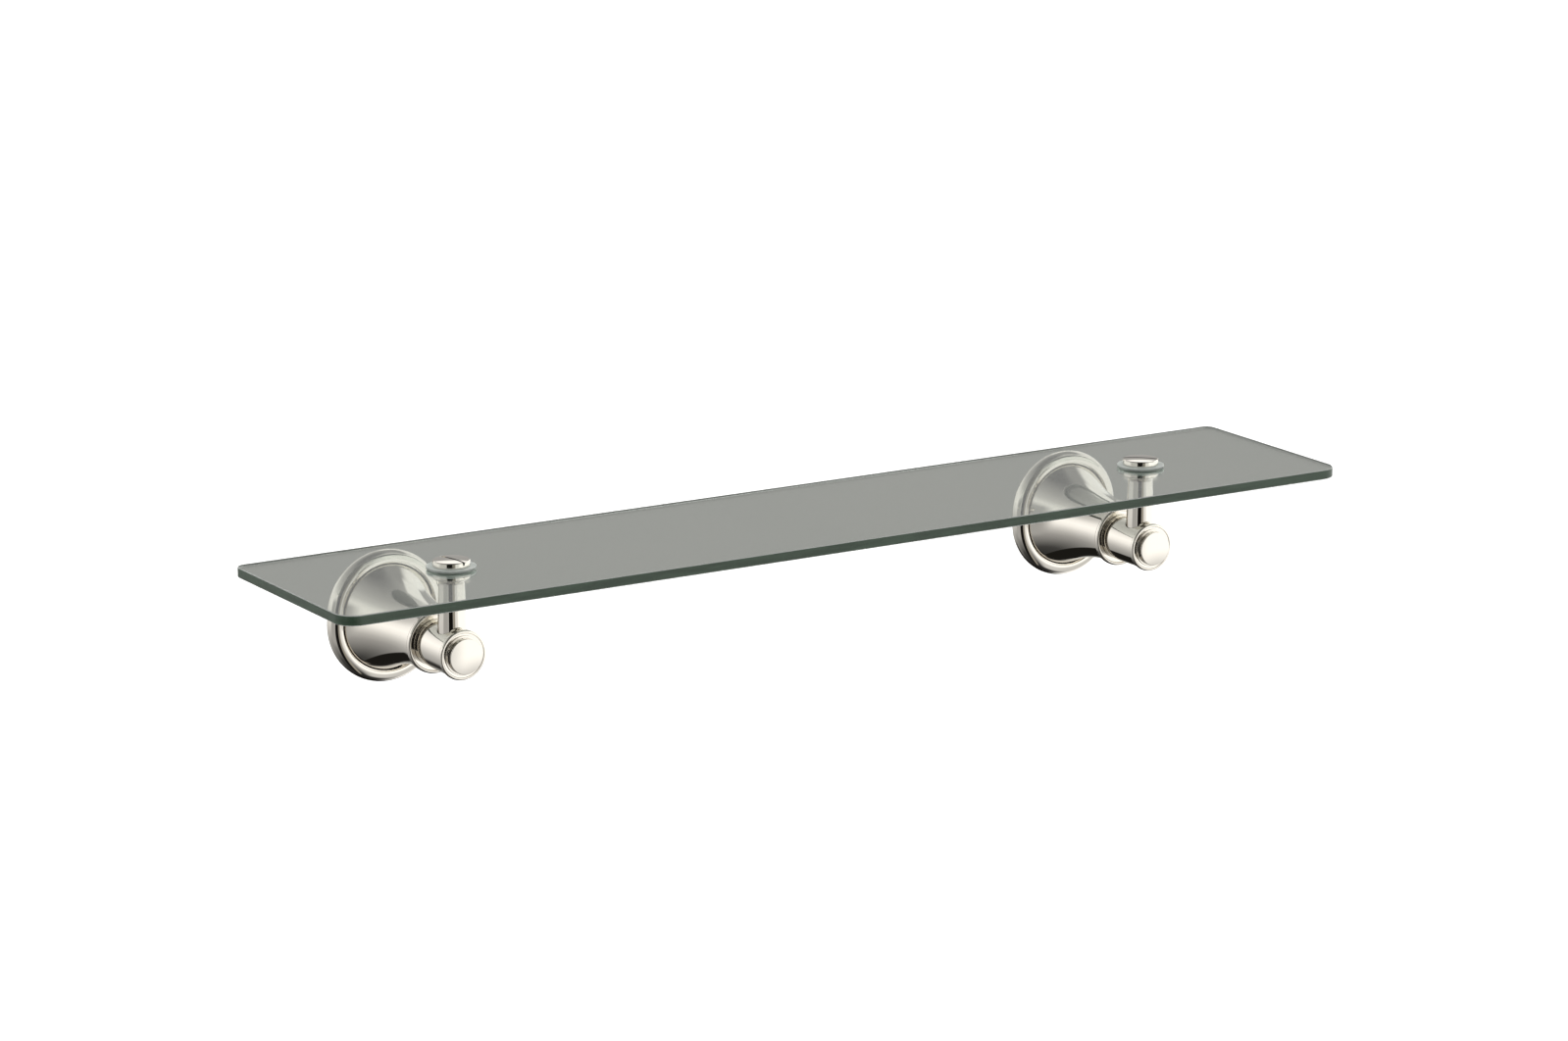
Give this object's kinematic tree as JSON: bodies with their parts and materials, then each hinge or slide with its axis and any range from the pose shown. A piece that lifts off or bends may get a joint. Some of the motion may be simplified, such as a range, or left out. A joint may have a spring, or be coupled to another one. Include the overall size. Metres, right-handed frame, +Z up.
{
  "type": "wall shelf with brackets",
  "caption": "Clear glass wall shelf held on polished metal post brackets with round wall rosettes, trumpet arms and slotted clamp screws.",
  "frame": {"origin": "on the wall plane, midway between the two brackets, at the height of the axes of their arms", "axes": "+X along the shelf, +Y into the wall, +Z up; the shelf stands out from the wall towards -Y"},
  "size_m": [0.56, 0.1507, 0.0747],
  "materials": {
    "shelf_glass": "clear float glass with a green tint, polished edges",
    "polished_nickel": "mirror polished nickel, slightly warm",
    "washer_plastic": "translucent milky nylon",
    "zinc_steel": "bright zinc plated",
    "plug_plastic": "light grey moulded nylon"
  },
  "bodies": {
    "shelf": {"glass_shelf": "shelf_glass", "left_rosette": "polished_nickel", "left_horn": "polished_nickel", "left_collar": "polished_nickel", "left_barrel": "polished_nickel", "left_end_ring": "polished_nickel", "left_end_button": "polished_nickel", "left_post": "polished_nickel", "left_lower_washer": "washer_plastic", "left_wall_plate": "zinc_steel", "left_tie_bolt": "zinc_steel", "left_upper_wall_screw": "zinc_steel", "left_lower_wall_screw": "zinc_steel", "left_grub_screw": "zinc_steel", "left_upper_wall_plug": "plug_plastic", "left_lower_wall_plug": "plug_plastic", "right_rosette": "polished_nickel", "right_horn": "polished_nickel", "right_collar": "polished_nickel", "right_barrel": "polished_nickel", "right_end_ring": "polished_nickel", "right_end_button": "polished_nickel", "right_post": "polished_nickel", "right_lower_washer": "washer_plastic", "right_wall_plate": "zinc_steel", "right_tie_bolt": "zinc_steel", "right_upper_wall_screw": "zinc_steel", "right_lower_wall_screw": "zinc_steel", "right_grub_screw": "zinc_steel", "right_upper_wall_plug": "plug_plastic", "right_lower_wall_plug": "plug_plastic"},
    "left_washer_body": {"left_upper_washer": "washer_plastic"},
    "left_screw_body": {"left_clamp_screw": "polished_nickel"},
    "right_washer_body": {"right_upper_washer": "washer_plastic"},
    "right_screw_body": {"right_clamp_screw": "polished_nickel"}
  },
  "joints": [
    {"name": "left_clamp_lift", "type": "slide", "parent": "shelf", "child": "left_washer_body", "axis": [0, 0, 1], "range_m": [0, 0.0091]},
    {"name": "left_clamp_turn", "type": "hinge", "parent": "left_washer_body", "child": "left_screw_body", "pos_m": [-0.196, -0.0705, 0.042], "axis": [0, 0, 1], "range_deg": [0, 3240]},
    {"name": "right_clamp_lift", "type": "slide", "parent": "shelf", "child": "right_washer_body", "axis": [0, 0, 1], "range_m": [0, 0.0091]},
    {"name": "right_clamp_turn", "type": "hinge", "parent": "right_washer_body", "child": "right_screw_body", "pos_m": [0.196, -0.0705, 0.042], "axis": [0, 0, 1], "range_deg": [0, 3240]}
  ],
  "couplings": [
    {"joint": "left_clamp_lift", "follows": "left_clamp_turn", "m_per_rad": 0.00015915},
    {"joint": "right_clamp_lift", "follows": "right_clamp_turn", "m_per_rad": 0.00015915}
  ]
}
